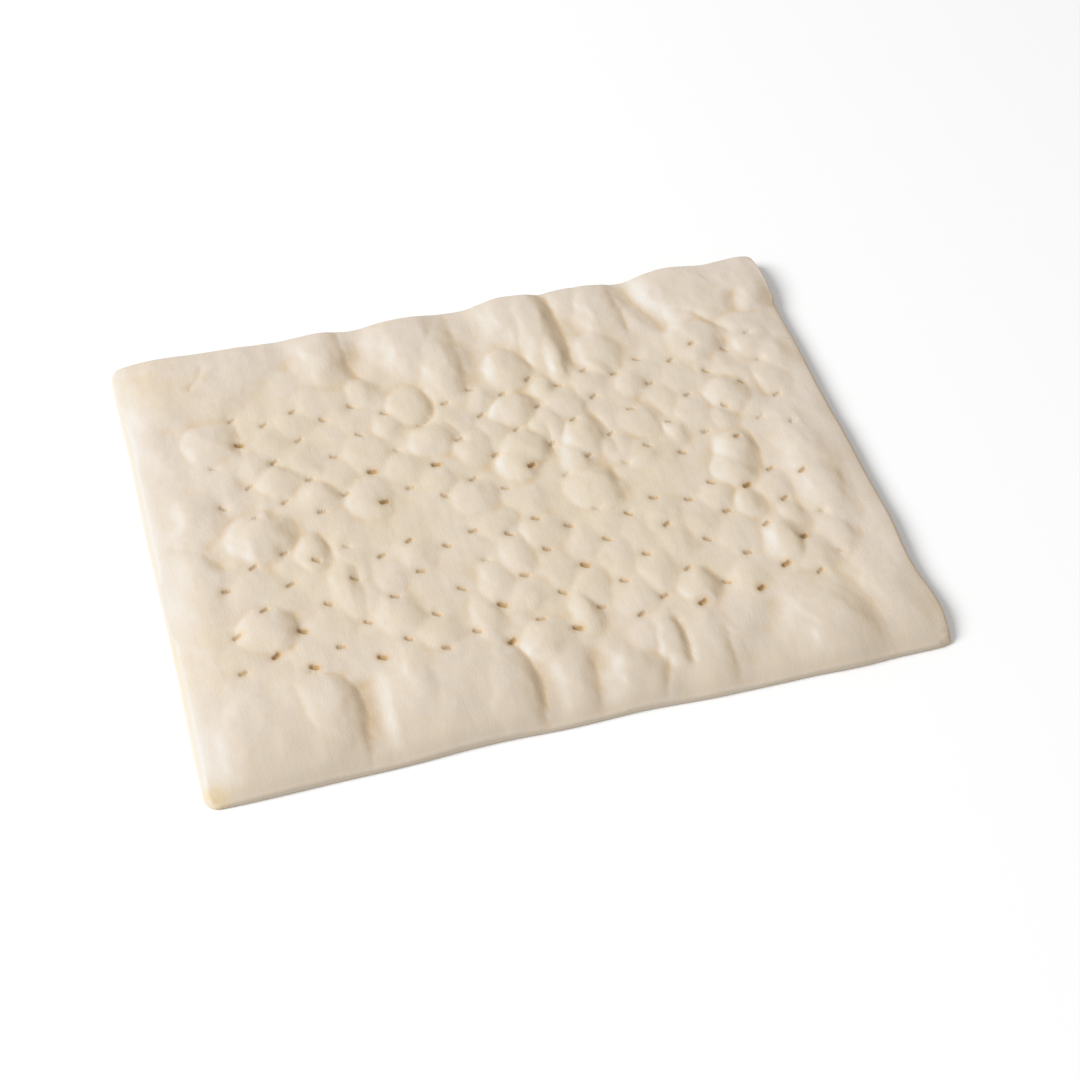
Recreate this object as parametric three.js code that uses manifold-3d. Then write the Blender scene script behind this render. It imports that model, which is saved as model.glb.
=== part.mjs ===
/**
 * Gluten-free pizza base: one par-baked rectangular sheet of pale dough.
 *
 * The sheet has a flat underside, a softly rounded rim that bellies out a little,
 * low blisters and pillows that the oven raised, and rows of small blind holes that
 * a spiked docker pressed into it before baking.
 *
 * Millimetres, +Z up. The origin is the middle of the flat underside, +X runs along
 * the length and +Y towards the back edge.
 */

import * as THREE from 'three';
import Module from 'manifold-3d';
import { mergeVertices } from 'three/addons/utils/BufferGeometryUtils.js';

// Driving dimensions of the sheet.
const LENGTH = 350;
const WIDTH = 278;
const THICKNESS = 7.5;
const CORNER = 6;

// Rim: how far its round reaches in from the edge, the share of that on the two sides that were
// cut sharper, the height of its widest line, and how far the foot stays in.
const RIM = 3.5;
const RIGHT_RIM_SHARE = 0.35;
const BACK_RIM_SHARE = 0.5;
const BELLY_HEIGHT = 1.2;
const FOOT_INSET = 0.8;
const RIM_ANGLES = [0, 35, 65, 90];
const CORNER_STEPS = 3;

// The top rolls off to the sides: the share of its height that the rim keeps, and the reach.
const ROLL_OFFS = [
  { side: 'back', keeps: 0.85, reach: 14 },
  { side: 'front', keeps: 0.52, reach: 22 },
  { side: 'front', keeps: 0.62, reach: 7 },
  { side: 'left', keeps: 0.48, reach: 22 },
  { side: 'right', keeps: 0.9, reach: 10 },
];
const ROLL_OFF_START = 1.6;

// Longest side of a facet on the top.
const FACET = 6.4;

// Docker: staggered rows of pins, pressed on twice. Blisters closed three of its holes.
const PIN_PITCH = 15.2;
const PIN_ROWS = [[34, 14, -14, -36], [27, 0, -27]];
const PRESSES = [
  { x: -0.5, y: 42, first: -9, last: 10 },
  { x: 6.5, y: -53.4, first: -10, last: 9 },
];
const CLOSED_HOLES = [{ x: -31, y: 78 }, { x: -137, y: 82 }, { x: -146, y: -6 }];
const CLOSED_REACH = 5;
const PRESS_BOW = 0.00043;
const PRESS_BOW_CENTRE = 40;
const PIN_WANDER = 0.8;
const PIN_RADIUS = 1.5;
const PIN_SIDES = 4;
const PIN_POINT_HEIGHT = 5.2;
const PIN_CLEARANCE = 12;
const PINCH_DEPTH = 0.6;
const PINCH_RADIUS = 5;

// Blisters on the field of the sheet: [x, y, half length, half width, flank, rise]. The flank is
// the share of a dome's size that its slope takes: below 1 the dome is a flat-topped bell, and at
// 1 it is a round cap.
const BLISTERS = [
  [-136, 74, 14, 14, 1.0, 1.6],
  [-149, 24, 15, 19, 0.9, 1.3],
  [-117, 50, 11, 12, 0.9, 1.0],
  [-108, 38, 12, 13, 0.9, 1.2],
  [-90, 23, 14, 12, 0.9, 1.3],
  [-123, 4, 18, 17, 1.0, 3.3],
  [-102, -12, 10, 13, 1.0, 2.0],
  [-158, -24, 19, 38, 0.9, 1.0],
  [-131, -53, 16, 14, 1.0, 2.4],
  [-91, -36, 9, 20, 0.9, 1.1],
  [-71, -59, 13, 14, 1.0, 1.6],
  [-67, 16, 13, 15, 1.0, 1.7],
  [-75, 86, 19, 19, 0.9, 1.0],
  [-55, 91, 14, 14, 0.9, 1.1],
  [-48, 62, 8, 9, 1.0, 0.9],
  [-47, 32, 11, 12, 0.9, 0.9],
  [-33, 73, 12, 15, 1.0, 1.8],
  [-28, 46, 13, 12, 1.0, 2.0],
  [-9, 37, 11, 14, 1.0, 1.8],
  [-17, 4, 13, 13, 1.0, 1.2],
  [-12, -16, 14, 14, 0.9, 1.0],
  [6, -5, 12, 16, 0.9, 1.0],
  [-32, -72, 8, 17, 1.0, 1.3],
  [-8, -92, 12, 14, 1.0, 1.9],
  [14, -80, 9, 14, 1.0, 1.8],
  [-9, -64, 16, 11, 0.9, 1.2],
  [22, 87, 13, 17, 1.0, 1.8],
  [36, 68, 7, 8, 1.0, 1.5],
  [18, 57, 14, 12, 1.0, 2.4],
  [9, 19, 12, 13, 1.0, 2.6],
  [15, 29, 13, 14, 1.0, 2.6],
  [46, 30, 11, 17, 1.0, 2.2],
  [38, 16, 10, 11, 0.9, 1.6],
  [41, -6, 15, 16, 1.0, 2.0],
  [28, -36, 12, 15, 0.9, 0.9],
  [72, 88, 12, 16, 1.0, 1.4],
  [68, 78, 9, 11, 0.9, 1.2],
  [81, 60, 9, 10, 1.0, 1.6],
  [76, 33, 14, 13, 1.0, 1.3],
  [70, 12, 10, 12, 1.0, 1.2],
  [93, 22, 9, 10, 0.9, 1.3],
  [68, -33, 15, 15, 0.9, 1.1],
  [68, -50, 14, 14, 0.9, 1.0],
  [69, -79, 11, 13, 1.0, 1.9],
  [92, -82, 11, 19, 0.9, 0.8],
  [124, 84, 16, 18, 1.0, 1.9],
  [127, 40, 13, 14, 1.0, 2.5],
  [117, 25, 9, 13, 0.9, 1.2],
  [116, 0, 11, 17, 1.0, 2.4],
  [111, -11, 11, 15, 1.0, 2.3],
  [110, -35, 9, 12, 0.9, 1.8],
  [119, -62, 13, 20, 0.9, 2.6],
  [128, -47, 9, 11, 0.9, 1.3],
  [160, 61, 12, 18, 0.9, 1.2],
  [149, -16, 18, 54, 0.9, 2.7],
];

// Pillows that run out over the rim, written the same way.
const RIM_PILLOWS = [
  [-142, 130, 46, 46, 0.3, 1.2],
  [-69, 124, 18, 38, 0.9, 2.2],
  [-23, 128, 23, 44, 0.7, 2.2],
  [-11, 104, 17, 46, 0.9, 2.1],
  [36, 132, 21, 44, 0.7, 2.3],
  [44, 118, 15, 44, 0.7, 3.1],
  [48, 98, 10, 36, 0.9, 3.0],
  [66, 139, 18, 26, 0.9, 1.6],
  [81, 126, 18, 38, 0.9, 2.0],
  [146, 136, 46, 46, 0.3, 2.6],
  [152, 91, 18, 18, 0.9, 1.5],
  [-134, -124, 38, 50, 0.7, 2.2],
  [-115, -106, 22, 34, 0.9, 2.6],
  [-54, -124, 38, 48, 0.7, 2.4],
  [-71, -110, 22, 38, 0.9, 2.4],
  [-37, -124, 22, 42, 0.9, 2.7],
  [-3, -116, 12, 34, 0.9, 1.5],
  [26, -128, 19, 26, 0.7, 2.0],
  [37, -104, 12, 14, 0.9, 1.3],
  [46, -107, 12, 21, 0.9, 2.2],
  [61, -116, 17, 36, 0.9, 1.8],
  [121, -122, 28, 40, 0.9, 3.4],
  [155, -112, 16, 40, 0.9, 1.3],
];

// Lower caps between the holes, wherever no blister stands nearer than PUFF_APART.
const PUFF_RISE = 1.3;
const PUFF_HALF = 11.5;
const PUFF_OVERLAP = 2.5;
const PUFF_WANDER = 1.6;
const PUFF_APART = 10;

// Broad valleys between the pillows: [depth, reach to each side, points the valley runs through].
const LANES = [
  [0.7, 9, [[-49, 139], [-50, 122], [-53, 104]]],
  [0.4, 8, [[-90, 139], [-89, 118]]],
  [0.8, 10, [[9, 139], [10, 120], [9, 100], [5, 84]]],
  [0.6, 9, [[65, 112], [65, 104]]],
  [1.1, 9, [[98, 139], [101, 124], [106, 110], [112, 98]]],
  [0.6, 8, [[138, 76], [138, 62]]],
  [0.8, 8, [[155, 110], [153, 103]]],
  [1.1, 9, [[-93, -96], [-94, -112], [-95, -128]]],
  [0.5, 8, [[-15, -100], [-15, -118], [-20, -139]]],
  [0.7, 12, [[76, -139], [86, -120], [98, -102]]],
  [0.5, 8, [[11, -104], [14, -112]]],
  [0.5, 8, [[-124, 40], [-124, 26]]],
  [0.6, 8, [[-146, 4], [-144, -8]]],
  [0.5, 7, [[-125, -17], [-114, -24]]],
];

// Each edge waves in and out where pillows lie: [middle, half width, swell].
const BACK_WAVES = [
  [-158, 60, 2.6],
  [-100, 40, 1.0],
  [-50, 16, -0.8],
  [33, 22, 2.6],
  [70, 26, 1.6],
  [125, 22, 2.4],
  [165, 18, 1.6],
];
const FRONT_WAVES = [
  [-155, 44, 0.6],
  [-60, 40, -0.9],
  [-35, 50, -1.4],
  [20, 40, -1.6],
  [90, 40, 0.2],
  [126, 24, 0.8],
  [158, 20, 0.2],
];
const LEFT_WAVES = [
  [120, 60, 0.6],
  [20, 60, 0.6],
  [-110, 50, 0.6],
];
const RIGHT_WAVES = [
  [118, 34, 2.0],
  [70, 40, 1.0],
  [0, 40, 0.4],
  [-88, 30, -1.8],
  [-113, 16, 0.6],
  [-138, 16, -1.6],
];

// Slow unevenness of the thickness: its height, and how far it takes to turn by one radian.
const UNEVEN_RISE = 0.35;
const UNEVEN_ALONG = 34;
const UNEVEN_ACROSS = 27;

// Pale cream crumb, dull all over.
const DOUGH_COLOUR = '#decdb6';
const DOUGH_ROUGHNESS = 0.85;

const halfLength = LENGTH / 2 - CORNER;
const halfWidth = WIDTH / 2 - CORNER;
const columns = Math.round((2 * halfLength) / FACET);
const rows = Math.round((2 * halfWidth) / FACET);

/** A soft step: 0 up to 0, 1 from 1 on, level at both ends. */
function softStep(share) {
  const inside = Math.min(1, Math.max(0, share));
  return inside ** 2 * (3 - 2 * inside);
}

/** Rise of one domed blister or pillow at (x, y), nothing outside its oval. */
function domeRise(x, y, [centreX, centreY, halfX, halfY, flank, rise]) {
  const out = Math.hypot((x - centreX) / halfX, (y - centreY) / halfY);
  return rise * (flank < 1 ? softStep((1 - out) / flank) : Math.max(0, 1 - out ** 2));
}

/** Depth of one lane at (x, y), nothing beyond its reach. */
function laneDepth(x, y, [depth, reach, points]) {
  const here = new THREE.Vector3(x, y, 0);
  const onLane = new THREE.Vector3();
  let nearest = Infinity;
  for (let point = 0; point + 1 < points.length; point += 1) {
    const [from, to] = [new THREE.Vector3(...points[point]), new THREE.Vector3(...points[point + 1])];
    new THREE.Line3(from, to).closestPointToPoint(here, true, onLane);
    nearest = Math.min(nearest, onLane.distanceTo(here));
  }
  return depth * softStep(1 - nearest / reach);
}

/** How far an edge swells out at a place along it. */
function edgeSwell(waves, along) {
  return waves.reduce((sum, [middle, half, swell]) => {
    const offset = Math.min(1, Math.abs(along - middle) / half);
    return sum + (swell * (1 + Math.cos(Math.PI * offset))) / 2;
  }, 0);
}

/** Where the docker's pins stood: both presses, one list of pins for each column. */
function pinColumns() {
  const found = [];
  for (const press of PRESSES) {
    for (let column = press.first; column <= press.last; column += 1) {
      const x = press.x + PIN_PITCH * column;
      const bow = PRESS_BOW * (x - PRESS_BOW_CENTRE) ** 2;
      found.push(PIN_ROWS[Math.abs(column) % 2].map((offset) => {
        const turn = column * 2.4 + offset * 0.7 + press.y;
        return {
          x: x + PIN_WANDER * Math.sin(turn),
          y: press.y + offset + bow + PIN_WANDER * Math.cos(turn * 1.7),
        };
      }));
    }
  }
  return found;
}

/** One low dome for each gap between two pins of a column, unless a blister fills it. */
function puffsBetween(pinsByColumn) {
  const puffs = [];
  pinsByColumn.forEach((pinsHere, number) => {
    for (let pin = 0; pin + 1 < pinsHere.length; pin += 1) {
      const [back, front] = [pinsHere[pin], pinsHere[pin + 1]];
      const x = (back.x + front.x) / 2;
      const y = (back.y + front.y) / 2;
      if (BLISTERS.every((blister) => Math.hypot(x - blister[0], y - blister[1]) > PUFF_APART)) {
        const turn = number * 2.1 + y * 0.37;
        const vigour = (0.68 + 0.32 * Math.sin(turn)) * Math.min(1, 0.2 + (x + 150) / 200);
        puffs.push([
          x + PUFF_WANDER * Math.cos(turn * 1.3),
          y + PUFF_WANDER * Math.sin(turn * 2.3),
          PUFF_HALF * (0.92 + 0.14 * Math.sin(turn * 1.7)),
          Math.abs(back.y - front.y) / 2 + PUFF_OVERLAP,
          1,
          PUFF_RISE * vigour,
        ]);
      }
    }
  });
  return puffs;
}

const columnsOfPins = pinColumns();
const isClosed = (pin) => CLOSED_HOLES.some(({ x, y }) => Math.hypot(pin.x - x, pin.y - y) < CLOSED_REACH);
const pins = columnsOfPins.flat().filter((pin) => !isClosed(pin));
const domes = [...BLISTERS, ...RIM_PILLOWS, ...puffsBetween(columnsOfPins)];

/** The share of its height over the widest line that the top keeps at (x, y). */
function rollOff(x, y) {
  const fromEdge = {
    back: WIDTH / 2 - y,
    front: WIDTH / 2 + y,
    left: LENGTH / 2 + x,
    right: LENGTH / 2 - x,
  };
  return ROLL_OFFS.reduce((kept, { side, keeps, reach }) => {
    const inside = Math.max(0, fromEdge[side] - ROLL_OFF_START);
    return kept * (1 - (1 - keeps) * Math.max(0, 1 - inside / reach) ** 2);
  }, 1);
}

/** Height of the top of the sheet over the underside at (x, y). */
function topHeight(x, y) {
  const uneven = UNEVEN_RISE * Math.sin(x / UNEVEN_ALONG) * Math.cos(y / UNEVEN_ACROSS);
  const rise = Math.max(0, ...domes.map((dome) => domeRise(x, y, dome)));
  const nearest = Math.min(...pins.map((pin) => Math.hypot(pin.x - x, pin.y - y)));
  const pinch = PINCH_DEPTH * Math.max(0, 1 - nearest / PINCH_RADIUS);
  const lane = Math.max(0, ...LANES.map((line) => laneDepth(x, y, line)));
  const over = THICKNESS + uneven + rise - pinch - lane - BELLY_HEIGHT;
  return BELLY_HEIGHT + over * rollOff(x, y);
}

/** The rim's spokes: a point on the border of the field and the way out from it. */
function rimSpokes() {
  const sides = [
    { out: -90, steps: columns, at: (n) => [n, 0] },
    { out: 0, steps: rows, at: (n) => [columns, n] },
    { out: 90, steps: columns, at: (n) => [columns - n, rows] },
    { out: 180, steps: rows, at: (n) => [0, rows - n] },
  ];
  const spokes = [];
  for (const { out, steps, at } of sides) {
    for (let step = 0; step <= CORNER_STEPS; step += 1) {
      spokes.push({ cell: at(0), out: out - 90 + (90 * step) / CORNER_STEPS });
    }
    for (let step = 1; step < steps; step += 1) {
      spokes.push({ cell: at(step), out });
    }
  }
  return spokes;
}

/** The whole sheet without its docker holes, as one closed surface. */
function sheetGeometry() {
  const positions = [];
  const triangles = [];
  const addPoint = (x, y, z) => positions.push(x, y, z) / 3 - 1;
  const fieldX = (column) => -halfLength + (2 * halfLength * column) / columns;
  const fieldY = (row) => -halfWidth + (2 * halfWidth * row) / rows;
  const fieldPoint = (column, row) => row * (columns + 1) + column;

  for (let row = 0; row <= rows; row += 1) {
    for (let column = 0; column <= columns; column += 1) {
      const x = fieldX(column);
      const y = fieldY(row);
      addPoint(x, y, topHeight(x, y));
    }
  }
  for (let row = 0; row < rows; row += 1) {
    for (let column = 0; column < columns; column += 1) {
      const near = fieldPoint(column, row);
      const far = fieldPoint(column, row + 1);
      triangles.push(near, near + 1, far + 1, near, far + 1, far);
    }
  }

  const spokes = rimSpokes();
  const rimRing = (inset, heightAt) => spokes.map(({ cell, out }) => {
    const [fromX, fromY] = [fieldX(cell[0]), fieldY(cell[1])];
    const [outX, outY] = [Math.cos(THREE.MathUtils.degToRad(out)), Math.sin(THREE.MathUtils.degToRad(out))];
    const swell = Math.abs(outX) * edgeSwell(fromX > 0 ? RIGHT_WAVES : LEFT_WAVES, fromY)
      + Math.abs(outY) * edgeSwell(fromY > 0 ? BACK_WAVES : FRONT_WAVES, fromX);
    const sharpness = (1 - (1 - RIGHT_RIM_SHARE) * Math.max(0, outX))
      * (1 - (1 - BACK_RIM_SHARE) * Math.max(0, outY));
    const reach = CORNER + swell - inset(sharpness);
    const x = fromX + outX * reach;
    const y = fromY + outY * reach;
    return addPoint(x, y, heightAt(x, y));
  });

  const rings = [spokes.map(({ cell }) => fieldPoint(cell[0], cell[1]))];
  for (const angle of RIM_ANGLES) {
    const turn = THREE.MathUtils.degToRad(angle);
    const round = (x, y) => BELLY_HEIGHT + (topHeight(x, y) - BELLY_HEIGHT) * Math.cos(turn);
    rings.push(rimRing((sharpness) => RIM * sharpness * (1 - Math.sin(turn)), round));
  }
  rings.push(rimRing(() => FOOT_INSET, () => 0));

  for (let ring = 0; ring + 1 < rings.length; ring += 1) {
    for (let spoke = 0; spoke < spokes.length; spoke += 1) {
      const next = (spoke + 1) % spokes.length;
      const [innerHere, innerNext] = [rings[ring][spoke], rings[ring][next]];
      const [outerHere, outerNext] = [rings[ring + 1][spoke], rings[ring + 1][next]];
      triangles.push(innerHere, outerHere, outerNext);
      if (innerHere !== innerNext) triangles.push(innerHere, outerNext, innerNext);
    }
  }

  const foot = rings[rings.length - 1];
  const onFloor = (point) => new THREE.Vector2(positions[3 * point], positions[3 * point + 1]);
  const footOutline = foot.map(onFloor);
  for (const [a, b, c] of THREE.ShapeUtils.triangulateShape(footOutline, [])) {
    triangles.push(foot[a], foot[c], foot[b]);
  }

  const geometry = new THREE.BufferGeometry();
  geometry.setAttribute('position', new THREE.Float32BufferAttribute(positions, 3));
  geometry.setIndex(triangles);
  return geometry;
}

/** One pointed docker pin standing in its hole, PIN_RADIUS wide at the top of the sheet. */
function pinGeometry({ x, y }) {
  const tall = THICKNESS + PIN_CLEARANCE - PIN_POINT_HEIGHT;
  const radius = (PIN_RADIUS * tall) / (THICKNESS - PIN_POINT_HEIGHT);
  const geometry = new THREE.ConeGeometry(radius, tall, PIN_SIDES);
  geometry.rotateX(-Math.PI / 2);
  geometry.translate(x, y, PIN_POINT_HEIGHT + tall / 2);
  return geometry;
}

/** A closed geometry as a manifold solid, with its shared vertices merged. */
function asSolid(wasm, geometry) {
  const bare = geometry.clone();
  bare.deleteAttribute('normal');
  bare.deleteAttribute('uv');
  const merged = mergeVertices(bare);
  return new wasm.Manifold(new wasm.Mesh({
    numProp: 3,
    vertProperties: new Float32Array(merged.attributes.position.array),
    triVerts: new Uint32Array(merged.index.array),
  }));
}

/** The sheet with every docker hole sunk into it. */
async function dockedSheetGeometry() {
  const wasm = await Module();
  wasm.setup();
  const allPins = pins.map((pin) => asSolid(wasm, pinGeometry(pin))).reduce((sum, pin) => sum.add(pin));
  const mesh = asSolid(wasm, sheetGeometry()).subtract(allPins).getMesh();
  const geometry = new THREE.BufferGeometry();
  geometry.setAttribute('position', new THREE.Float32BufferAttribute(mesh.vertProperties, 3));
  geometry.setIndex([...mesh.triVerts]);
  geometry.computeVertexNormals();
  return geometry;
}

/** Dull, pale, floury dough. */
function doughMaterial() {
  return new THREE.MeshStandardMaterial({ color: DOUGH_COLOUR, roughness: DOUGH_ROUGHNESS, metalness: 0 });
}

const pizzaBase = new THREE.Mesh(await dockedSheetGeometry(), doughMaterial());
pizzaBase.name = 'pizza_base';

const group = new THREE.Group();
group.add(pizzaBase);

export default group;
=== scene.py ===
import math

import bpy
import numpy as np
from mathutils import Euler, Matrix, Vector


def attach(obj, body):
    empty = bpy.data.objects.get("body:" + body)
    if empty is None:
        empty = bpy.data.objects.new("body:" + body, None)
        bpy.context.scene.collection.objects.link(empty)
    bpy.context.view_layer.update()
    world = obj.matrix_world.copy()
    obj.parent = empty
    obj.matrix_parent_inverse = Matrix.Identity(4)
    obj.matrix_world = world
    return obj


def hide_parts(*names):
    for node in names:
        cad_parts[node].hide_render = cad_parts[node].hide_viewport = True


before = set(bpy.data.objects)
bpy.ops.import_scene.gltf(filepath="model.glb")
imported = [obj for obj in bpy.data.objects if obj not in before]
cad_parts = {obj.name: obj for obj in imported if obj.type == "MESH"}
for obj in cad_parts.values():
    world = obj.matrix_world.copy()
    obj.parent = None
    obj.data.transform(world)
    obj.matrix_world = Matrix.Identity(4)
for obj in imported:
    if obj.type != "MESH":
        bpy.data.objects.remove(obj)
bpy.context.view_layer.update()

MM = 0.001

# The view: a long lens looks down on the sheet from the front, a little from its left.
# The whole sheet just fits in a square frame, leaning slightly to one side.
LENS = 66.9
SENSOR = 36.0
VIEW_AZIMUTH = math.radians(-17.84)
VIEW_ELEVATION = math.radians(47.81)
VIEW_LEAN = math.radians(1.95)
VIEW_DISTANCE = 968.8 * MM
VIEW_TARGET = Vector((7.0 * MM, -25.6 * MM, 0.0))

camera_data = bpy.data.cameras.new("view")
camera_data.lens = LENS
camera_data.sensor_width = SENSOR
camera = bpy.data.objects.new("view", camera_data)
bpy.context.scene.collection.objects.link(camera)
turned = Euler((math.pi / 2 - VIEW_ELEVATION, 0.0, VIEW_AZIMUTH)).to_matrix()
turned = turned @ Matrix.Rotation(VIEW_LEAN, 3, "Z")
stands_at = VIEW_TARGET + turned @ Vector((0, 0, VIEW_DISTANCE))
camera.matrix_world = Matrix.Translation(stands_at) @ turned.to_4x4()
bpy.context.scene.camera = camera


# The dough sheet: a slab of soft gluten-free dough, rolled out and trimmed to a rectangle.
# It starts as a block with rounded corners and edges, cut into a fine grid so that the
# oven's blisters and the docker can be pressed into it.
LENGTH = 350 * MM
WIDTH = 278 * MM
THICKNESS = 7.5 * MM
CORNER = 6 * MM
RIM = 3.5 * MM
BELLY = 1.2 * MM
FOOT = 0.8 * MM
ABOVE_BELLY = THICKNESS - BELLY
HAIR = 0.1 * MM
TINY = 0.01 * MM

half_length = LENGTH / 2
half_width = WIDTH / 2


def take(piece):
    """Makes the piece the one that the next operator acts on."""
    if bpy.context.object:
        bpy.ops.object.mode_set(mode="OBJECT")
    bpy.ops.object.select_all(action="DESELECT")
    piece.select_set(True)
    bpy.context.view_layer.objects.active = piece


def pick(piece, kind, chosen):
    """Goes to edit mode with exactly the chosen vertices, edges or faces selected."""
    bpy.ops.object.mode_set(mode="OBJECT")
    mesh = piece.data
    for items in (mesh.vertices, mesh.edges, mesh.polygons):
        items.foreach_set("select", np.zeros(len(items), bool))
    items = {"VERT": mesh.vertices, "EDGE": mesh.edges, "FACE": mesh.polygons}[kind]
    items.foreach_set("select", np.asarray(chosen, bool))
    modes = tuple(kind == mode for mode in ("VERT", "EDGE", "FACE"))
    bpy.context.tool_settings.mesh_select_mode = modes
    bpy.ops.object.mode_set(mode="EDIT")


def places(piece):
    """The places of all its vertices, one row each."""
    bpy.ops.object.mode_set(mode="OBJECT")
    found = np.empty(len(piece.data.vertices) * 3)
    piece.data.vertices.foreach_get("co", found)
    return found.reshape(-1, 3)


def edge_places(piece):
    """Both ends of each of its edges."""
    at = places(piece)
    ends = np.empty(len(piece.data.edges) * 2, int)
    piece.data.edges.foreach_get("vertices", ends)
    return at[ends.reshape(-1, 2)]


def face_places(piece):
    """The middle of each of its faces."""
    bpy.ops.object.mode_set(mode="OBJECT")
    found = np.empty(len(piece.data.polygons) * 3)
    piece.data.polygons.foreach_get("center", found)
    return found.reshape(-1, 3)


bpy.ops.object.select_all(action="DESELECT")
bpy.ops.mesh.primitive_cube_add(size=1)
sheet = bpy.context.object
sheet.name = "pizza_base_sheet"
bpy.ops.object.mode_set(mode="EDIT")
bpy.ops.transform.resize(value=(LENGTH, WIDTH, BELLY + RIM))
bpy.ops.transform.translate(value=(0, 0, (BELLY + RIM) / 2))

# The edges to round, in turn: the upright corners, the rim on top and the edge of the foot.
# Whether they lie at the foot, whether they lie on top, their radius and number of facets.
ROUNDINGS = (
    (False, False, CORNER, 5),
    (False, True, RIM, 5),
    (True, False, FOOT, 2),
)

for low, high, offset, segments in ROUNDINGS:
    heights = edge_places(sheet)[:, :, 2]
    on_foot = (heights < HAIR).all(axis=1)
    on_top = (heights > BELLY + RIM - HAIR).all(axis=1)
    pick(sheet, "EDGE", (on_foot == low) & (on_top == high))
    bpy.ops.mesh.bevel(offset=offset, segments=segments, profile=0.5, affect="EDGES")

at = places(sheet)
pick(sheet, "VERT", at[:, 2] > BELLY)
bpy.ops.transform.resize(value=(1, 1, ABOVE_BELLY / RIM), center_override=(0, 0, BELLY))

# The knife left the right-hand and the back edge sharper than the other two: the way out, and
# the share of the rim's radius that is left.
SHARPER = (((1, 0), 0.35), ((0, 1), 0.5))
WHOLE_RIM = RIM * 1.01

for (out_x, out_y), share in SHARPER:
    at = places(sheet)
    inward = half_length * out_x + half_width * out_y - (at[:, 0] * out_x + at[:, 1] * out_y)
    pick(sheet, "VERT", inward < WHOLE_RIM)
    bpy.ops.transform.resize(
        value=(share if out_x else 1, share if out_y else 1, 1),
        center_override=(half_length * out_x, half_width * out_y, 0),
    )

# The block is cut along and across until no edge is twice as long as a cell.
GRID = 1.3 * MM
TOO_LONG = 1.9 * GRID
NEARLY_LONGEST = 0.9
MOST_CUTS = 100

for axis in (0, 1):
    ends = edge_places(sheet)
    runs = np.abs(ends[:, 0, axis] - ends[:, 1, axis])
    while runs.max() > TOO_LONG:
        pick(sheet, "EDGE", runs > runs.max() * NEARLY_LONGEST)
        bpy.ops.mesh.subdivide(number_cuts=min(MOST_CUTS, round(runs.max() / GRID) - 1))
        ends = edge_places(sheet)
        runs = np.abs(ends[:, 0, axis] - ends[:, 1, axis])

middles = face_places(sheet)
pick(sheet, "FACE", middles[:, 2] < HAIR)
bpy.ops.mesh.dissolve_faces()

# Each side's outermost ring is remembered here, while the edges are still straight.
SIDES = {"back": (0, 1), "front": (0, -1), "left": (-1, 0), "right": (1, 0)}
RING = 1.6 * MM
at = places(sheet)
rings = {}
for side, (out_x, out_y) in SIDES.items():
    from_edge = (half_length if out_x else half_width) - (at[:, 0] * out_x + at[:, 1] * out_y)
    rings[side] = (from_edge < RING) & (at[:, 2] > BELLY)

# The trimmed edge isn't straight: it swells where pillows rose beside it and pinches between
# them. Each wave is pulled or pushed as a soft bulge: middle along the edge, half width, swell.
BACK_WAVES = (
    (-158, 60, 2.6),
    (-100, 40, 1.0),
    (-50, 16, -0.8),
    (33, 22, 2.6),
    (70, 26, 1.6),
    (125, 22, 2.4),
    (165, 18, 1.6),
)
FRONT_WAVES = (
    (-155, 44, 0.6),
    (-60, 40, -0.9),
    (-35, 50, -1.4),
    (20, 40, -1.6),
    (90, 40, 0.2),
    (126, 24, 0.8),
    (158, 20, 0.2),
)
LEFT_WAVES = ((120, 60, 0.6), (20, 60, 0.6), (-110, 50, 0.6))
RIGHT_WAVES = (
    (118, 34, 2.0),
    (70, 40, 1.0),
    (0, 40, 0.4),
    (-88, 30, -1.8),
    (-113, 16, 0.6),
    (-138, 16, -1.6),
)
# Strokes along or across the sheet take in every grid line that lies this near.
GRID_CATCH = GRID * 0.6


def wave_edge(out, waves):
    """Swells one edge of the sheet, which faces out, by its waves."""
    across = Vector((abs(out.y), abs(out.x), 0))
    for middle, half, swell in waves:
        at = places(sheet)
        along = np.abs(at @ np.array(across) - middle * MM)
        outermost = (at @ np.array(out)) > (half_length if out.x else half_width) - RIM / 2
        pick(sheet, "VERT", outermost & (along < GRID_CATCH))
        bpy.ops.transform.translate(
            value=out * (swell * MM),
            use_proportional_edit=True,
            proportional_edit_falloff="SMOOTH",
            proportional_size=half * MM,
        )


wave_edge(Vector((0, 1, 0)), BACK_WAVES)
wave_edge(Vector((0, -1, 0)), FRONT_WAVES)
wave_edge(Vector((-1, 0, 0)), LEFT_WAVES)
wave_edge(Vector((1, 0, 0)), RIGHT_WAVES)

# Docking: a docker with staggered rows of pointed pins was pressed on twice, so that the sheet
# bakes flat. Columns of four and three pins take turns. Each press has its middle along and
# across and its first and last column. Blisters closed three of its holes again.
PIN_PITCH = 15.2
PIN_ROWS = ((34, 14, -14, -36), (27, 0, -27))
PRESSES = ((-0.5, 42, -9, 10), (6.5, -53.4, -10, 9))
PRESS_BOW = 0.00043
PRESS_BOW_CENTRE = 40
PIN_WANDER = 0.8
CLOSED_HOLES = ((-31, 78), (-137, 82), (-146, -6))
CLOSED_REACH = 5


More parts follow.
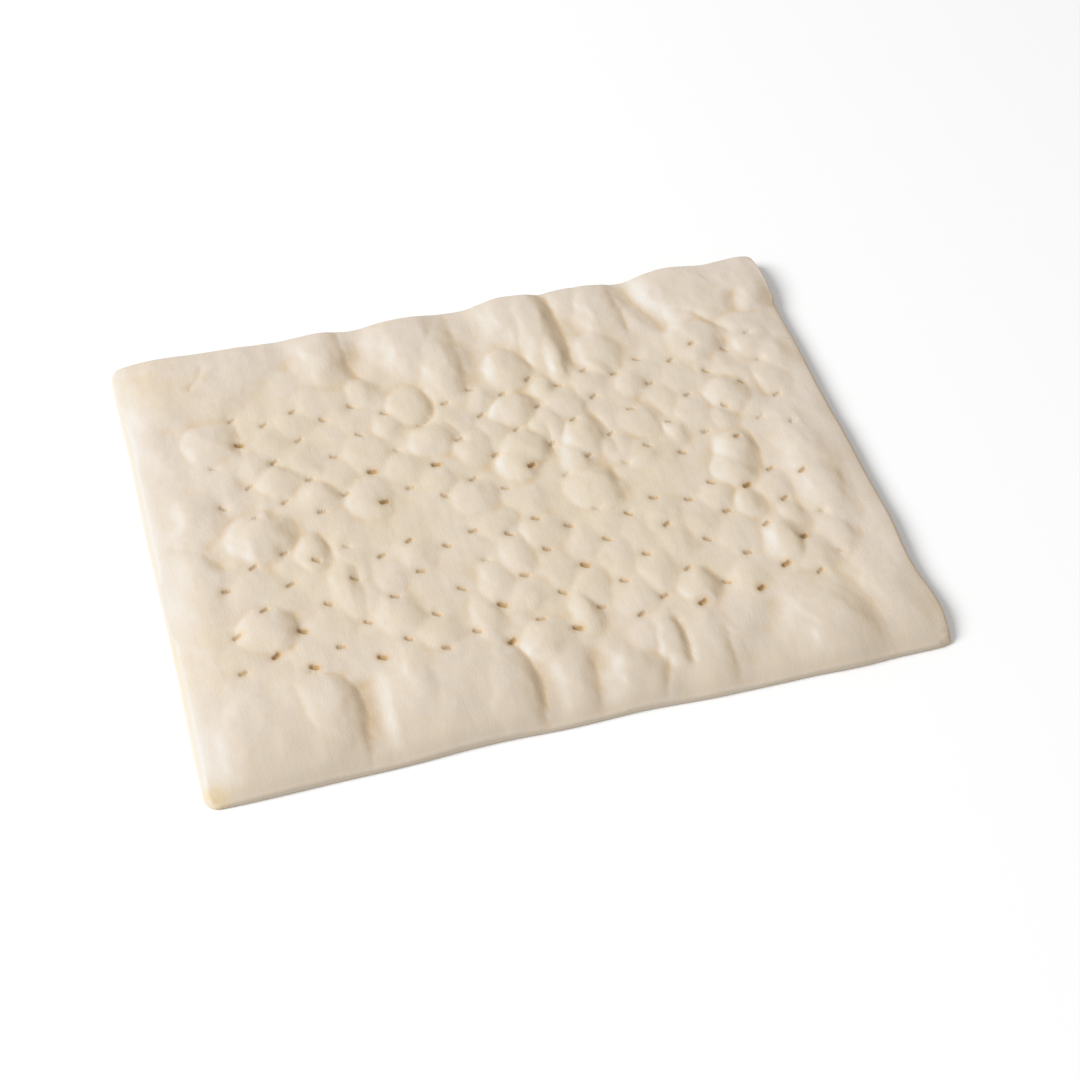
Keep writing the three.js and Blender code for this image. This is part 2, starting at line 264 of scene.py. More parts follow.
def pin_columns():
    """Where the docker's pins stood: for each press, column by column, from the back."""
    columns = []
    for press_x, press_y, first, last in PRESSES:
        for column in range(first, last + 1):
            x = press_x + PIN_PITCH * column
            bow = PRESS_BOW * (x - PRESS_BOW_CENTRE) ** 2
            pins = []
            for offset in PIN_ROWS[abs(column) % 2]:
                turn = column * 2.4 + offset * 0.7 + press_y
                y = press_y + offset + bow + PIN_WANDER * math.cos(turn * 1.7)
                pins.append((x + PIN_WANDER * math.sin(turn), y))
            columns.append(pins)
    return columns


def nearest(x, y, spots):
    """How far (x, y) is from the nearest of the spots."""
    return min(math.hypot(x - spot[0], y - spot[1]) for spot in spots)


# Blisters and pillows: steam lifted the top of the sheet in domes that meet in sharp valleys.
# Each is a hill set on the top, and the sheet is draped over all of them. One whose flank takes
# only a share of its size is a flat-topped bell, and one that is all flank is a round cap.
# Middle along and across, half length, half width, share of it that the flank takes, rise.
BLISTERS = (
    (-136, 74, 14, 14, 1.0, 1.6),
    (-149, 24, 15, 19, 0.9, 1.3),
    (-117, 50, 11, 12, 0.9, 1.0),
    (-108, 38, 12, 13, 0.9, 1.2),
    (-90, 23, 14, 12, 0.9, 1.3),
    (-123, 4, 18, 17, 1.0, 3.3),
    (-102, -12, 10, 13, 1.0, 2.0),
    (-158, -24, 19, 38, 0.9, 1.0),
    (-131, -53, 16, 14, 1.0, 2.4),
    (-91, -36, 9, 20, 0.9, 1.1),
    (-71, -59, 13, 14, 1.0, 1.6),
    (-67, 16, 13, 15, 1.0, 1.7),
    (-75, 86, 19, 19, 0.9, 1.0),
    (-55, 91, 14, 14, 0.9, 1.1),
    (-48, 62, 8, 9, 1.0, 0.9),
    (-47, 32, 11, 12, 0.9, 0.9),
    (-33, 73, 12, 15, 1.0, 1.8),
    (-28, 46, 13, 12, 1.0, 2.0),
    (-9, 37, 11, 14, 1.0, 1.8),
    (-17, 4, 13, 13, 1.0, 1.2),
    (-12, -16, 14, 14, 0.9, 1.0),
    (6, -5, 12, 16, 0.9, 1.0),
    (-32, -72, 8, 17, 1.0, 1.3),
    (-8, -92, 12, 14, 1.0, 1.9),
    (14, -80, 9, 14, 1.0, 1.8),
    (-9, -64, 16, 11, 0.9, 1.2),
    (22, 87, 13, 17, 1.0, 1.8),
    (36, 68, 7, 8, 1.0, 1.5),
    (18, 57, 14, 12, 1.0, 2.4),
    (9, 19, 12, 13, 1.0, 2.6),
    (15, 29, 13, 14, 1.0, 2.6),
    (46, 30, 11, 17, 1.0, 2.2),
    (38, 16, 10, 11, 0.9, 1.6),
    (41, -6, 15, 16, 1.0, 2.0),
    (28, -36, 12, 15, 0.9, 0.9),
    (72, 88, 12, 16, 1.0, 1.4),
    (68, 78, 9, 11, 0.9, 1.2),
    (81, 60, 9, 10, 1.0, 1.6),
    (76, 33, 14, 13, 1.0, 1.3),
    (70, 12, 10, 12, 1.0, 1.2),
    (93, 22, 9, 10, 0.9, 1.3),
    (68, -33, 15, 15, 0.9, 1.1),
    (68, -50, 14, 14, 0.9, 1.0),
    (69, -79, 11, 13, 1.0, 1.9),
    (92, -82, 11, 19, 0.9, 0.8),
    (124, 84, 16, 18, 1.0, 1.9),
    (127, 40, 13, 14, 1.0, 2.5),
    (117, 25, 9, 13, 0.9, 1.2),
    (116, 0, 11, 17, 1.0, 2.4),
    (111, -11, 11, 15, 1.0, 2.3),
    (110, -35, 9, 12, 0.9, 1.8),
    (119, -62, 13, 20, 0.9, 2.6),
    (128, -47, 9, 11, 0.9, 1.3),
    (160, 61, 12, 18, 0.9, 1.2),
    (149, -16, 18, 54, 0.9, 2.7),
)
PILLOWS = (
    (-142, 130, 46, 46, 0.3, 1.2),
    (-69, 124, 18, 38, 0.9, 2.2),
    (-23, 128, 23, 44, 0.7, 2.2),
    (-11, 104, 17, 46, 0.9, 2.1),
    (36, 132, 21, 44, 0.7, 2.3),
    (44, 118, 15, 44, 0.7, 3.1),
    (48, 98, 10, 36, 0.9, 3.0),
    (66, 139, 18, 26, 0.9, 1.6),
    (81, 126, 18, 38, 0.9, 2.0),
    (146, 136, 46, 46, 0.3, 2.6),
    (152, 91, 18, 18, 0.9, 1.5),
    (-134, -124, 38, 50, 0.7, 2.2),
    (-115, -106, 22, 34, 0.9, 2.6),
    (-54, -124, 38, 48, 0.7, 2.4),
    (-71, -110, 22, 38, 0.9, 2.4),
    (-37, -124, 22, 42, 0.9, 2.7),
    (-3, -116, 12, 34, 0.9, 1.5),
    (26, -128, 19, 26, 0.7, 2.0),
    (37, -104, 12, 14, 0.9, 1.3),
    (46, -107, 12, 21, 0.9, 2.2),
    (61, -116, 17, 36, 0.9, 1.8),
    (121, -122, 28, 40, 0.9, 3.4),
    (155, -112, 16, 40, 0.9, 1.3),
)

# The sheet also puffed up between neighbouring holes wherever no larger blister rose, least at
# the left end.
PUFF_RISE = 1.3
PUFF_HALF = 11.5
PUFF_OVERLAP = 2.5
PUFF_WANDER = 1.6
PUFF_APART = 10.0
PUFF_FLANK = 1.0
PUFF_LEAST = 0.2
PUFF_CALM_END = -150
PUFF_CALM_LENGTH = 200
DRAPE_DROP = 40 * MM

# Flat strips carry the drape over the front and back rims where the pillows leave gaps.
STRIP_LENGTH = 280 * MM
STRIP_WIDTH = 40 * MM
STRIP_MIDDLE = 10 * MM


def puffs_between_pins():
    """One low dome for each gap between two pins of a column, unless a blister fills it."""
    puffs = []
    for number, pins in enumerate(pin_columns()):
        for (x1, y1), (x2, y2) in zip(pins, pins[1:]):
            x, y = (x1 + x2) / 2, (y1 + y2) / 2
            if nearest(x, y, BLISTERS) > PUFF_APART:
                turn = number * 2.1 + y * 0.37
                liveliness = min(1, PUFF_LEAST + (x - PUFF_CALM_END) / PUFF_CALM_LENGTH)
                vigour = (0.68 + 0.32 * math.sin(turn)) * liveliness
                half_x = PUFF_HALF * (0.92 + 0.14 * math.sin(turn * 1.7))
                half_y = abs(y1 - y2) / 2 + PUFF_OVERLAP
                x += PUFF_WANDER * math.cos(turn * 1.3)
                y += PUFF_WANDER * math.sin(turn * 2.3)
                puffs.append((x, y, half_x, half_y, PUFF_FLANK, PUFF_RISE * vigour))
    return puffs


TOP = "top"
TOP_FADE = 0.6
MIDDLE = "middle"
MIDDLE_FADE = 16 * MM
HILL_CELLS = 32
HILL_EDGE = 0.04


def weigh(name, shares):
    """Keeps how freely each vertex of the sheet moves: not at all at 0, fully at 1."""
    group = sheet.vertex_groups.new(name=name)
    shares = np.clip(shares, 0, 1)
    for vertex, weight in enumerate(shares * shares * (3 - 2 * shares)):
        if weight > 0:
            group.add((vertex,), float(weight), "REPLACE")


def shape_hill(flank):
    """A round hill, one high and one in radius: a bell, flat inside its flank, or a cap."""
    bpy.ops.object.select_all(action="DESELECT")
    bpy.ops.mesh.primitive_grid_add(x_subdivisions=HILL_CELLS, y_subdivisions=HILL_CELLS, size=2)
    hill = bpy.context.object
    middles = face_places(hill)
    pick(hill, "FACE", np.hypot(middles[:, 0], middles[:, 1]) > 1)
    bpy.ops.mesh.delete(type="FACE")
    at = places(hill)
    pick(hill, "VERT", np.hypot(at[:, 0], at[:, 1]) < 1 + HILL_EDGE - flank)
    bpy.ops.transform.translate(
        value=(0, 0, 1),
        use_proportional_edit=True,
        proportional_edit_falloff="SMOOTH" if flank < 1 else "INVERSE_SQUARE",
        proportional_size=flank,
    )
    bpy.ops.object.mode_set(mode="OBJECT")
    return hill


def add_dome(x, y, half_x, half_y, flank, rise):
    """A copy of the hill with this flank, at its place and size on the top of the sheet."""
    take(shapes[flank])
    bpy.ops.object.duplicate()
    dome = bpy.context.object
    dome.location = (x * MM, y * MM, THICKNESS)
    dome.scale = (half_x * MM, half_y * MM, rise * MM)
    return dome


at = places(sheet)
weigh(TOP, (at[:, 2] - BELLY) / (ABOVE_BELLY * TOP_FADE))
from_edge = np.minimum(half_length - np.abs(at[:, 0]), half_width - np.abs(at[:, 1]))
weigh(MIDDLE, np.where(at[:, 2] > BELLY, from_edge / MIDDLE_FADE, 0))
take(sheet)
bpy.ops.object.duplicate()
form = bpy.context.object
form.name = "former"
domes = (*BLISTERS, *PILLOWS, *puffs_between_pins())
shapes = {flank: shape_hill(flank) for flank in sorted({dome[4] for dome in domes})}
hills = [add_dome(*dome) for dome in domes]
for side in (-1, 1):
    across = side * (half_width - STRIP_WIDTH / 4)
    bpy.ops.mesh.primitive_plane_add(size=1, location=(STRIP_MIDDLE, across, THICKNESS))
    bpy.context.object.scale = (STRIP_LENGTH, STRIP_WIDTH, 1)
    hills.append(bpy.context.object)
bpy.ops.object.select_all(action="DESELECT")
for hill in hills:
    hill.select_set(True)
form.select_set(True)
bpy.context.view_layer.objects.active = form
bpy.ops.object.join()
bpy.ops.object.transform_apply(location=True, rotation=True, scale=True)
bpy.ops.object.mode_set(mode="EDIT")
bpy.ops.mesh.select_all(action="SELECT")
bpy.ops.transform.translate(value=(0, 0, -DRAPE_DROP))
bpy.ops.object.mode_set(mode="OBJECT")


def finish_with(piece, kind, **settings):
    """Adds one modifier to the piece, sets it and applies it."""
    take(piece)
    modifier = piece.modifiers.new(kind.lower(), kind)
    for name, value in settings.items():
        setattr(modifier, name, value)
    bpy.ops.object.modifier_apply(modifier=modifier.name)


finish_with(
    sheet,
    "SHRINKWRAP",
    target=form,
    wrap_method="PROJECT",
    wrap_mode="ON_SURFACE",
    use_project_z=True,
    use_negative_direction=True,
    use_positive_direction=False,
    offset=DRAPE_DROP,
    vertex_group=TOP,
)
for used in (form, *shapes.values()):
    take(used)
    bpy.ops.object.delete()

# Slow unevenness from rolling and baking, and shallow streaks that run with the rolling. Dough
# also creeps sideways as it bakes, so that no blister stays a true oval.
# Direction, size of the lumps along and across, and how far they move the dough.
UNEVENNESS = (
    ("Z", 26, 30, 2.0),
    ("Z", 11, 15, 0.35),
    ("Z", 5, 9, 0.25),
    ("X", 15, 15, 4.5),
    ("Y", 15, 15, 4.5),
    ("X", 6, 6, 1.6),
    ("Y", 6, 6, 1.6),
)
LUMPS_APART = (0.31, 0.17)
LUMPS_UP = 0.1
SOFTEN_PASSES = 4
SOFTEN_FACTOR = 0.5

for number, (direction, along, across, height) in enumerate(UNEVENNESS):
    moves = TOP if direction == "Z" else MIDDLE
    lumps = bpy.data.textures.new("lumps", "CLOUDS")
    lumps.noise_scale = 1.0
    lumps.noise_depth = 1
    bpy.ops.object.empty_add(location=(LUMPS_APART[0] * number, LUMPS_APART[1] * number, LUMPS_UP))
    grain = bpy.context.object
    grain.scale = (along * MM, across * MM, along * MM)
    bpy.context.view_layer.update()
    finish_with(
        sheet,
        "DISPLACE",
        texture=lumps,
        texture_coords="OBJECT",
        texture_coords_object=grain,
        direction=direction,
        mid_level=0.5,
        strength=height * MM,
        vertex_group=moves,
    )
    bpy.data.objects.remove(grain)

finish_with(sheet, "SMOOTH", factor=SOFTEN_FACTOR, iterations=SOFTEN_PASSES, vertex_group=TOP)

# The rim was squeezed thinner than the rest, so the top rolls off softly to all four sides.
# How much of its height the rim keeps on each side, and how far in the slope begins.
ROLL_OFFS = (
    ("back", 0.85, 14),
    ("front", 0.52, 22),
    ("front", 0.62, 7),
    ("left", 0.48, 22),
    ("right", 0.90, 10),
)


def lower(piece, chosen, share, falloff, reach):
    """Lowers the chosen vertices to a share of their height, and the ones around them less."""
    low = places(piece)[:, 2] < BELLY
    pick(piece, "VERT", chosen & ~low)
    bpy.ops.object.mode_set(mode="OBJECT")
    piece.data.vertices.foreach_set("hide", low)
    bpy.ops.object.mode_set(mode="EDIT")
    bpy.ops.transform.resize(
        value=(1, 1, share),
        center_override=(0, 0, BELLY),
        use_proportional_edit=True,
        proportional_edit_falloff=falloff,
        proportional_size=reach,
    )
    bpy.ops.mesh.reveal(select=False)


for side, share, reach in ROLL_OFFS:
    lower(sheet, rings[side], share, "SHARP", reach * MM)

# Creases: the valleys where one pillow folded against the next, pressed in as short strokes.
# Broad lanes come first, then the sharp folds. Depth, reach to each side, and the points that
# the valley runs through.
LANES = (
    (0.7, 9, ((-49, 139), (-50, 122), (-53, 104))),
    (0.4, 8, ((-90, 139), (-89, 118))),
    (0.8, 10, ((9, 139), (10, 120), (9, 100), (5, 84))),
    (0.6, 9, ((65, 112), (65, 104))),
    (1.1, 9, ((98, 139), (101, 124), (106, 110), (112, 98))),
    (0.6, 8, ((138, 76), (138, 62))),
    (0.8, 8, ((155, 110), (153, 103))),
    (1.1, 9, ((-93, -96), (-94, -112), (-95, -128))),
    (0.5, 8, ((-15, -100), (-15, -118), (-20, -139))),
    (0.7, 12, ((76, -139), (86, -120), (98, -102))),
    (0.5, 8, ((11, -104), (14, -112))),
    (0.5, 8, ((-124, 40), (-124, 26))),
    (0.6, 8, ((-146, 4), (-144, -8))),
    (0.5, 7, ((-125, -17), (-114, -24))),
)
CREASES = (
    (0.5, 6, ((-57, 136), (-57, 112), (-52, 100), (-46, 92))),
    (0.4, 6, ((1, 136), (1, 108), (0, 90), (-2, 76))),
    (0.6, 7, ((57, 135), (58, 104), (57, 84))),
    (0.4, 5, ((92, 132), (93, 116), (92, 102))),
    (0.5, 4, ((-24, 82), (-21, 74), (-23, 64), (-28, 59))),
    (0.4, 5, ((-18, 56), (-14, 48), (-13, 42))),
    (0.4, 6, ((-122, 84), (-120, 72), (-122, 62))),
    (0.5, 8, ((-164, 8), (-152, 2), (-145, -8))),
    (0.4, 5, ((-95, -2), (-93, -12), (-96, -20))),
    (0.4, 5, ((-107, 50), (-96, 40), (-84, 30), (-79, 22))),
    (0.4, 6, ((-117, -47), (-117, -56), (-122, -66))),
    (0.4, 6, ((-84, -26), (-83, -42), (-85, -56))),
    (0.6, 6, ((-117, -82), (-104, -88), (-99, -97), (-98, -110), (-101, -136))),
    (0.7, 5, ((-25, -88), (-21, -98), (-18, -113), (-22, -136))),
    (0.5, 5, ((29, 42), (30, 34), (28, 24))),
    (0.5, 6, ((56, 42), (59, 30), (59, 16))),
    (0.4, 5, ((53, 4), (53, -16))),
    (0.3, 6, ((128, 12), (128, -4), (125, -18))),
    (0.5, 5, ((124, 106), (131, 100), (138, 92), (143, 86))),
    (0.4, 6, ((86, 44), (91, 32))),
    (0.6, 4, ((52, -96), (53, -108), (51, -120))),
    (0.6, 5, ((41, -118), (35, -134))),
    (0.5, 5, ((8, -110), (4, -135))),
    (0.4, 5, ((72, -108), (70, -135))),
    (0.3, 4, ((-130, 128), (-133, 120), (-139, 113))),
    (0.4, 5, ((77, -72), (82, -80))),
    (0.2, 6, ((141, -106), (141, -135))),
)
STROKE_STEP = 1.0
FAR_AWAY = 9.0


def along_stroke(points):
    """Closely spaced places along a stroke, in metres."""
    marks = []
    for (ax, ay), (bx, by) in zip(points, points[1:]):
        steps = max(2, round(math.hypot(bx - ax, by - ay) / STROKE_STEP))
        for share in np.linspace(0, 1, steps):
            marks.append((ax + (bx - ax) * share, ay + (by - ay) * share))
    return np.array(marks) * MM


def distance_to(marks, at):
    """How far each vertex lies from the nearest mark, seen from above."""
    apart = np.full(len(at), FAR_AWAY)
    for mark in marks:
        apart = np.minimum(apart, np.hypot(at[:, 0] - mark[0], at[:, 1] - mark[1]))
    return apart


def press(piece, marks, depth, reach, falloff, tip=GRID_CATCH):
    """Presses the top of the piece down at the marks, fading out over the reach."""
    chosen = distance_to(marks, places(piece)) < tip
    lower(piece, chosen, 1 - depth / ABOVE_BELLY, falloff, reach)


for valleys, falloff in ((LANES, "SMOOTH"), (CREASES, "SHARP")):
    for depth, reach, points in valleys:
        press(sheet, along_stroke(points), depth * MM, reach * MM, falloff)

# Each pin pinches the dough round its hole. The grid is cut finer there, and the pin's point
# goes in last, deep or shallow: deeper on the front side of a slightly tilted line, where the
# docker was pressed harder.
PINCH_DEPTH = 0.6
PINCH_REACH = 6.0
PINCH_TIP = GRID * 0.75
HOLE_DEPTH = 1.2
HOLE_REACH = 1.35
HOLE_TIP = 0.35
SLOT_HALF = 1.3
SLOT_STEPS = 5
SLOT_SLANT = 0.6
PRESS_TILT = 0.1
FINER_WITHIN = (3.6, 2.0)
FAINT_HOLES = (
    (-137, 55),
    (-124, 18),
    (-46, 45),
    (-30, 58),
    (30, 7),
    (60, 6),
    (39, -21),
    (-24, -37),
    (-80, -13),
    (150, 63),
    (151, 83),
    (152, 14),
    (135, 20),
    (142, -79),
    (143, -50),
)
DEEPEST_HOLES = (
    (-125, 65),
    (-59, 11),
    (-31, 29),
    (14, 14),
    (-60, 31),
    (115, -24),
    (22, -54),
    (98, -89),
    (-116, -57),
    (-25, -66),
    (128, -65),
    (-116, -81),
    (-84, -82),
    (-25, -86),
    (6, -90),
    (71, -89),
    (-131, -69),
    (113, -80),
)


def slots(pins):
    """Each pin tears a short slot, slanted a little one way or the other."""
    marks = []
    for x, y in pins:
        slant = SLOT_SLANT * math.sin(x * 1.3 + y * 0.9)
        for along in np.linspace(-SLOT_HALF, SLOT_HALF, SLOT_STEPS):
            marks.append((x + along * math.cos(slant), y + along * math.sin(slant)))
    return np.array(marks) * MM


holes = []
for pins in pin_columns():
    holes += [pin for pin in pins if nearest(*pin, CLOSED_HOLES) > CLOSED_REACH]
deepest_holes = [hole for hole in holes if nearest(*hole, DEEPEST_HOLES) < CLOSED_REACH]
faint_holes = [hole for hole in holes if nearest(*hole, FAINT_HOLES) < CLOSED_REACH]
plain_holes = [hole for hole in holes if hole not in deepest_holes + faint_holes]
front_holes = [hole for hole in plain_holes if hole[1] < hole[0] * PRESS_TILT]
back_holes = [hole for hole in plain_holes if hole not in front_holes]
hole_groups = (
    (deepest_holes, 0.80),
    (front_holes, 0.44),
    (back_holes, 0.33),
    (faint_holes, 0.18),
)
hole_marks = np.array(holes) * MM

press(sheet, hole_marks, PINCH_DEPTH * MM, PINCH_REACH * MM, "SHARP", tip=PINCH_TIP)

for reach in FINER_WITHIN:
    middles = face_places(sheet)
    on_top = middles[:, 2] > BELLY
    pick(sheet, "FACE", on_top & (distance_to(hole_marks, middles) < reach * MM))
    bpy.ops.mesh.subdivide(number_cuts=1)

for group, share in hole_groups:
    depth = HOLE_DEPTH * share * MM
    press(sheet, slots(group), depth, HOLE_REACH * MM, "SMOOTH", tip=HOLE_TIP * MM)

# Numbers for the skin to read: how deep each place lies between the pillows, how near it is to
# a hole, how much the oven toasted it, how far in from the edges, how near the front edge it is,
# for painted shade there, and how far it leans to the left, towards the light, for painted
# highlight and painted shade.
HOLLOW_PASSES = 70
HOLLOW_DEPTH = 0.45
BLUSH_REACH = 4.4
BROWN_REACH = 2.1
BROWN_CORE = 1.3
FRONT_SHADE_REACH = 55 * MM
INWARD_REACH = 75 * MM
FOOT_TOAST = 0.7
FOOT_TOAST_HEIGHT = BELLY * 0.3
# Toasted places: middle along and across, reach, strength.
TOASTED = (
    (-171, -136, 9, 1.0),
    (-158, 128, 34, 0.35),
    (-165, -60, 40, 0.3),
    (-132, 121, 8, 0.4),
)


def note(piece, name, values):
    """Keeps one number for each vertex of the piece."""
    bpy.ops.object.mode_set(mode="OBJECT")
    layer = piece.data.attributes.new(name, "FLOAT", "POINT")
    layer.data.foreach_set("value", np.asarray(values, np.float32))


take(sheet)
bpy.ops.object.duplicate()
slack = bpy.context.object
finish_with(slack, "SMOOTH", factor=SOFTEN_FACTOR, iterations=HOLLOW_PASSES, vertex_group=TOP)
sunk = places(slack)[:, 2] - places(sheet)[:, 2]
bpy.ops.object.delete()
take(sheet)
# How far each place lies below the smoothed sheet, for painted shade in the hollows.
note(sheet, "hollow_shade", np.clip(sunk / (HOLLOW_DEPTH * MM), -1, 1))

at = places(sheet)
# Blush and brown round the holes: partly the dough's toasting, partly painted shade of the pits.
near_hole = np.zeros(len(at))
in_hole = np.zeros(len(at))
for group, share in hole_groups:
    apart = distance_to(slots(group), at) / MM
    near_hole = np.maximum(near_hole, share * np.clip(1 - apart / BLUSH_REACH, 0, 1))
    brown = np.clip(BROWN_CORE - BROWN_CORE * apart / BROWN_REACH, 0, 1)
    in_hole = np.maximum(in_hole, share * brown)
note(sheet, "near_hole", near_hole)
note(sheet, "in_hole", in_hole)

toast = np.clip(1 - at[:, 2] / FOOT_TOAST_HEIGHT, 0, 1) * FOOT_TOAST
for x, y, reach, strength in TOASTED:
    apart = np.hypot(at[:, 0] - x * MM, at[:, 1] - y * MM)
    toast = np.maximum(toast, strength * np.clip(1 - apart / (reach * MM), 0, 1))
underneath = at[:, 2] < TINY
note(sheet, "toast", np.where(underneath, FOOT_TOAST, toast))
from_edge = np.minimum(half_length - np.abs(at[:, 0]), half_width - np.abs(at[:, 1]))
note(sheet, "inward", np.where(underneath, 1, np.clip(from_edge / INWARD_REACH, 0, 1)))
# Painted shade: the colour darkens over the last stretch towards the front edge.
front_shade = np.clip(1 - (at[:, 1] + half_width) / FRONT_SHADE_REACH, 0, 1)
note(sheet, "front_shade", np.where(underneath, 0, front_shade))
bpy.ops.object.shade_smooth()

facing = np.empty(len(at) * 3)
sheet.data.vertex_normals.foreach_get("vector", facing)
# How far each place leans to the left, towards the light: painted highlight and painted shade
# follow it.
note(sheet, "lean", np.where(underneath, 0, -facing.reshape(-1, 3)[:, 0]))

middles = face_places(sheet)
pick(sheet, "FACE", middles[:, 2] < TINY)
bpy.ops.mesh.quads_convert_to_tris(ngon_method="BEAUTY")
bpy.ops.mesh.faces_shade_flat()
bpy.ops.object.mode_set(mode="OBJECT")


# Baked dough: a dull cream skin. Its colour drifts from a pale cream at the edges to a warmer one,
# has painted shade in the hollows, on slopes turned away from the light and towards the front
# edge, a painted highlight on slopes facing the light that painted shade tones down where they
# face it most, and turns brown in and round the holes, partly from toasting and partly as painted
# shade; the underside is faintly toasted.
CREAM = (0.672, 0.590, 0.508, 1)
WARM_CREAM = (0.668, 0.577, 0.450, 1)
MOTTLE_AND_SHADE_CREAM = (0.625, 0.460, 0.280, 1)
PAINTED_HIGHLIGHT_CREAM = (0.660, 0.640, 0.600, 1)
TOAST = (0.640, 0.490, 0.270, 1)
BLUSH_AND_SHADE = (0.580, 0.425, 0.270, 1)
FRONT_SHADE_CREAM = (0.600, 0.514, 0.410, 1)
LIT_SIDE_DIM_CREAM = (0.588, 0.540, 0.462, 1)
HOLE_BROWN_AND_SHADE = (0.430, 0.280, 0.125, 1)
# Lumps to the metre in each pattern, and how the fine relief is mixed and how strongly it shows.
DRIFT_LUMPS = 42
MOTTLE_LUMPS = 240
TOAST_LUMPS = 130
SHEEN_LUMPS = 300
STREAK_LUMPS = 260
STREAK_STRETCH = (1, 0.35, 1)
GRAIN_LUMPS = 900
STREAK_SHARE = 0.55
GRAIN_SHARE = 0.45
BUMP_STRENGTH = 0.42
BUMP_HEIGHT = 0.6 * MM
SPECULAR = 0.3


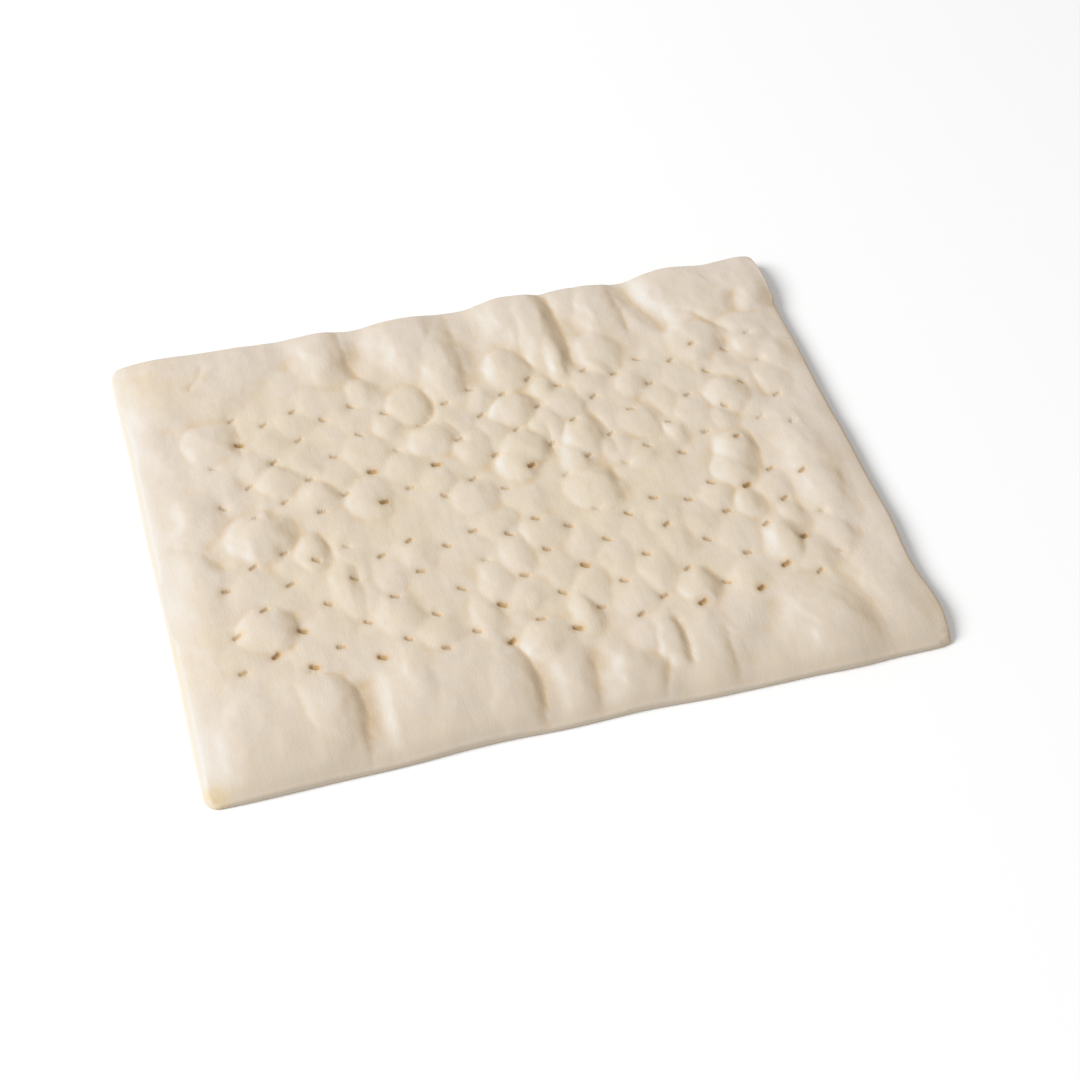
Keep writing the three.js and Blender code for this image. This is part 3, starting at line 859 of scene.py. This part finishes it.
def dough_material():
    """Cream skin with mottling, toasted places, painted highlight and shade, fine grain and
    rolling streaks.
    """
    material = bpy.data.materials.new("baked_dough")
    material.use_nodes = True
    nodes = material.node_tree.nodes
    links = material.node_tree.links
    shader = nodes["Principled BSDF"]
    place = nodes.new("ShaderNodeTexCoord").outputs["Object"]

    def number(name):
        """One of the numbers kept on the sheet."""
        node = nodes.new("ShaderNodeAttribute")
        node.attribute_name = name
        return node.outputs["Fac"]

    def noise(scale, detail, stretch=(1, 1, 1)):
        """A noise pattern; the scale is in lumps to the metre."""
        mapping = nodes.new("ShaderNodeMapping")
        mapping.inputs["Scale"].default_value = stretch
        links.new(place, mapping.inputs["Vector"])
        pattern = nodes.new("ShaderNodeTexNoise")
        pattern.inputs["Scale"].default_value = scale
        pattern.inputs["Detail"].default_value = detail
        links.new(mapping.outputs["Vector"], pattern.inputs["Vector"])
        return pattern.outputs["Fac"]

    def spread(value, low, high, to_low=0.0, to_high=1.0):
        """Stretches a value's range from low..high to the new range."""
        node = nodes.new("ShaderNodeMapRange")
        node.interpolation_type = "SMOOTHSTEP"
        node.inputs["From Min"].default_value = low
        node.inputs["From Max"].default_value = high
        node.inputs["To Min"].default_value = to_low
        node.inputs["To Max"].default_value = to_high
        links.new(value, node.inputs["Value"])
        return node.outputs["Result"]

    def combine(operation, first, second):
        """Two values through one sum."""
        node = nodes.new("ShaderNodeMath")
        node.operation = operation
        for socket, value in zip(node.inputs, (first, second)):
            if isinstance(value, float):
                socket.default_value = value
            else:
                links.new(value, socket)
        return node.outputs["Value"]

    def blend(amount, under, over):
        """Lays one colour over another by an amount."""
        node = nodes.new("ShaderNodeMix")
        node.data_type = "RGBA"
        links.new(amount, node.inputs["Factor"])
        for socket, colour in ((node.inputs[6], under), (node.inputs[7], over)):
            if isinstance(colour, tuple):
                socket.default_value = colour
            else:
                links.new(colour, socket)
        return node.outputs[2]

    drift = spread(noise(DRIFT_LUMPS, 3), 0.38, 0.62, 0.0, 0.4)
    warmth = combine("ADD", drift, spread(number("inward"), 0.0, 1.0, 0.0, 0.6))
    mottle = spread(noise(MOTTLE_LUMPS, 4), 0.35, 0.75, 0.0, 0.15)
    patchy = spread(noise(TOAST_LUMPS, 5), 0.30, 0.62, 0.25, 1.0)
    toasted = combine("MULTIPLY", number("toast"), patchy)
    turned_from_light = spread(number("lean"), -0.08, 0.12, 1.0, 0.3)
    # Painted shade in the hollows, less of it on slopes that lean towards the light.
    hollow_shade = combine("MULTIPLY", spread(number("hollow_shade"), -0.1, 1.0, 0.0, 0.8), turned_from_light)
    shaded = spread(number("lean"), -0.40, -0.02, 0.6, 0.0)
    clear_of_holes = spread(number("near_hole"), 0.0, 0.2, 1.0, 0.0)
    # Painted highlight on slopes facing the light, and painted shade that tones down the ones
    # facing it most.
    painted_highlight = combine("MULTIPLY", spread(number("lean"), 0.08, 0.48), clear_of_holes)
    dimmed_lit_side = combine("MULTIPLY", spread(number("lean"), 0.32, 0.68), clear_of_holes)

    colour = blend(warmth, CREAM, WARM_CREAM)
    # Painted shade towards the front edge.
    colour = blend(spread(number("front_shade"), 0.0, 1.0), colour, FRONT_SHADE_CREAM)
    colour = blend(mottle, colour, MOTTLE_AND_SHADE_CREAM)
    # Painted shade in the hollows and on slopes turned away from the light.
    colour = blend(combine("MAXIMUM", hollow_shade, shaded), colour, MOTTLE_AND_SHADE_CREAM)
    colour = blend(painted_highlight, colour, PAINTED_HIGHLIGHT_CREAM)
    colour = blend(dimmed_lit_side, colour, LIT_SIDE_DIM_CREAM)
    colour = blend(toasted, colour, TOAST)
    # Round and in each hole the dough turns brown, partly from toasting and partly as painted
    # shade of the pinched dip and the deep pit.
    colour = blend(spread(number("near_hole"), 0.0, 0.7, 0.0, 0.7), colour, BLUSH_AND_SHADE)
    colour = blend(spread(number("in_hole"), 0.05, 0.75, 0.0, 0.9), colour, HOLE_BROWN_AND_SHADE)
    links.new(colour, shader.inputs["Base Color"])

    links.new(spread(noise(SHEEN_LUMPS, 3), 0.3, 0.7, 0.74, 0.9), shader.inputs["Roughness"])
    shader.inputs["Specular IOR Level"].default_value = SPECULAR

    streaks = combine("MULTIPLY", noise(STREAK_LUMPS, 3, STREAK_STRETCH), STREAK_SHARE)
    grain = combine("MULTIPLY", noise(GRAIN_LUMPS, 4), GRAIN_SHARE)
    relief = combine("ADD", streaks, grain)
    bump = nodes.new("ShaderNodeBump")
    bump.inputs["Strength"].default_value = BUMP_STRENGTH
    bump.inputs["Distance"].default_value = BUMP_HEIGHT
    links.new(relief, bump.inputs["Height"])
    links.new(bump.outputs["Normal"], shader.inputs["Normal"])
    return material


sheet.data.materials.append(dough_material())
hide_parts("pizza_base")
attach(sheet, "root")

# The floor and the light: a plain pale floor, one large soft light from the left, a white sky.
FLOOR_SIZE = 6.0
FLOOR_PAINT = (0.93, 0.93, 0.93, 1)
FLOOR_ROUGHNESS = 0.9
KEY_AT = Vector((-4.72, 0.22, 3.45))
KEY_SIZE = 3.3
KEY_POWER = 376.0
SKY_WHITE = (1, 1, 1, 1)
SKY_STRENGTH = 0.5

bpy.ops.mesh.primitive_plane_add(size=FLOOR_SIZE, location=(0, 0, 0))
floor = bpy.context.object
floor.name = "floor"
floor_material = bpy.data.materials.new("floor")
floor_material.use_nodes = True
floor_shader = floor_material.node_tree.nodes["Principled BSDF"]
floor_shader.inputs["Base Color"].default_value = FLOOR_PAINT
floor_shader.inputs["Roughness"].default_value = FLOOR_ROUGHNESS
floor.data.materials.append(floor_material)

key_data = bpy.data.lights.new("key", "AREA")
key_data.shape = "DISK"
key_data.size = KEY_SIZE
key_data.energy = KEY_POWER
key = bpy.data.objects.new("key", key_data)
key.location = KEY_AT
key.rotation_euler = KEY_AT.to_track_quat("Z", "Y").to_euler()
bpy.context.scene.collection.objects.link(key)

world = bpy.data.worlds.new("sky")
world.use_nodes = True
world.node_tree.nodes["Background"].inputs["Color"].default_value = SKY_WHITE
world.node_tree.nodes["Background"].inputs["Strength"].default_value = SKY_STRENGTH
bpy.context.scene.world = world
bpy.context.scene.view_settings.view_transform = "Standard"
